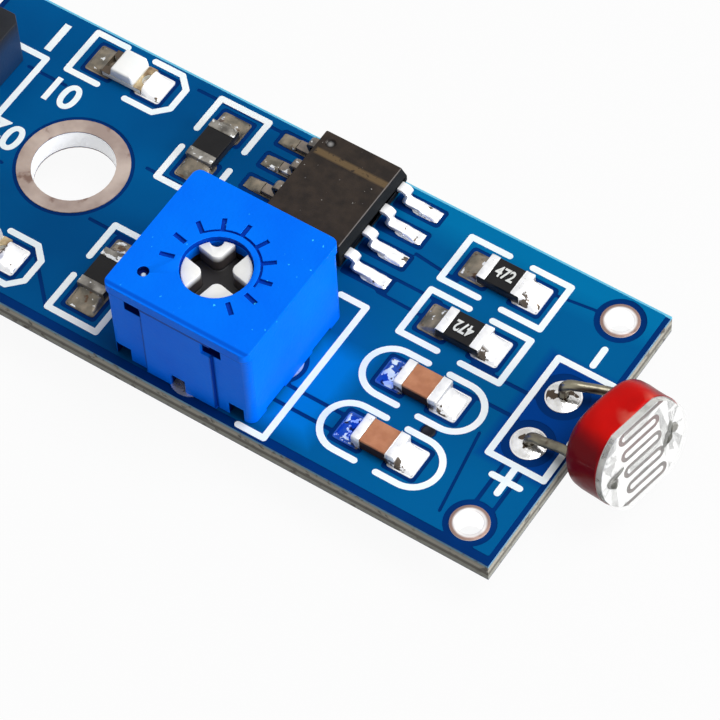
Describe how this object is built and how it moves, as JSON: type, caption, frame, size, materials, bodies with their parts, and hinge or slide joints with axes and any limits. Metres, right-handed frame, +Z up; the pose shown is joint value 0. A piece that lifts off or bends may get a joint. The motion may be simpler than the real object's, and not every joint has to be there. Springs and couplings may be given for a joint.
{
  "type": "light sensor module",
  "caption": "Small blue circuit board with a red photocell at one end, a comparator chip, a blue screwdriver trimmer, chip parts and a pin header.",
  "frame": {"origin": "axis of the large mounting hole, on the underside of the board", "axes": "+X towards the photocell end, +Y across the board towards the comparator's side, +Z up"},
  "size_m": [0.0354, 0.0135, 0.0111],
  "materials": {
    "board_laminate": "semi-gloss blue lacquer over glass laminate",
    "tinned_copper": "tinned",
    "white_ink": "matt",
    "chip_resin": "fine matt",
    "lead_metal": "satin",
    "resistor_black": "glassy",
    "end_metal": "satin",
    "capacitor_ceramic": "fired ceramic",
    "lamp_base_white": "satin",
    "clear_resin": "clear",
    "white_ceramic": "fired ceramic",
    "electrode_film": "satin",
    "track_film": "matt",
    "red_coating": "glossy lacquer",
    "trimmer_blue": "satin moulding",
    "rotor_white": "satin moulding",
    "contact_metal": "bright",
    "seal_rubber": "soft",
    "potting_blue": "cured resin",
    "header_black": "satin moulding",
    "solder": "bright"
  },
  "bodies": {
    "board": {"circuit_board": "board_laminate", "mounting_hole_rings": "tinned_copper", "corner_hole_plating_far": "tinned_copper", "corner_hole_plating_near": "tinned_copper", "sensor_hole_plating": "tinned_copper", "header_hole_plating": "tinned_copper", "trimmer_hole_plating": "tinned_copper", "solder_lands": "tinned_copper", "printed_outlines": "white_ink", "comparator_body": "chip_resin", "comparator_lead_1": "lead_metal", "comparator_lead_2": "lead_metal", "comparator_lead_3": "lead_metal", "comparator_lead_4": "lead_metal", "comparator_lead_5": "lead_metal", "comparator_lead_6": "lead_metal", "comparator_lead_7": "lead_metal", "comparator_lead_8": "lead_metal", "resistor_1_body": "resistor_black", "resistor_1_ends": "end_metal", "resistor_2_body": "resistor_black", "resistor_2_ends": "end_metal", "resistor_3_body": "resistor_black", "resistor_3_ends": "end_metal", "resistor_4_body": "resistor_black", "resistor_4_ends": "end_metal", "capacitor_1_body": "capacitor_ceramic", "capacitor_1_ends": "end_metal", "capacitor_2_body": "capacitor_ceramic", "capacitor_2_ends": "end_metal", "lamp_1_base": "lamp_base_white", "lamp_1_lens": "clear_resin", "lamp_1_ends": "end_metal", "lamp_2_base": "lamp_base_white", "lamp_2_lens": "clear_resin", "lamp_2_ends": "end_metal", "photocell_disc": "white_ceramic", "photocell_electrodes": "electrode_film", "photocell_track": "track_film", "photocell_coating": "red_coating", "photocell_window": "clear_resin", "photocell_wire_far": "lead_metal", "photocell_wire_near": "lead_metal", "trimmer_housing": "trimmer_blue", "trimmer_element": "white_ceramic", "trimmer_seal": "seal_rubber", "trimmer_base": "potting_blue", "trimmer_wires": "lead_metal", "header_strip": "header_black", "header_pin_1": "contact_metal", "header_pin_2": "contact_metal", "header_pin_3": "contact_metal", "surface_solder": "solder", "through_hole_solder": "solder"},
    "rotor": {"trimmer_rotor": "rotor_white", "trimmer_wiper": "contact_metal"}
  },
  "joints": [
    {"name": "trimmer_turn", "type": "hinge", "parent": "board", "child": "rotor", "pos_m": [0.01, -0.00369, 0.00504], "axis": [0, 0, 1], "range_deg": [-118, 118]}
  ]
}
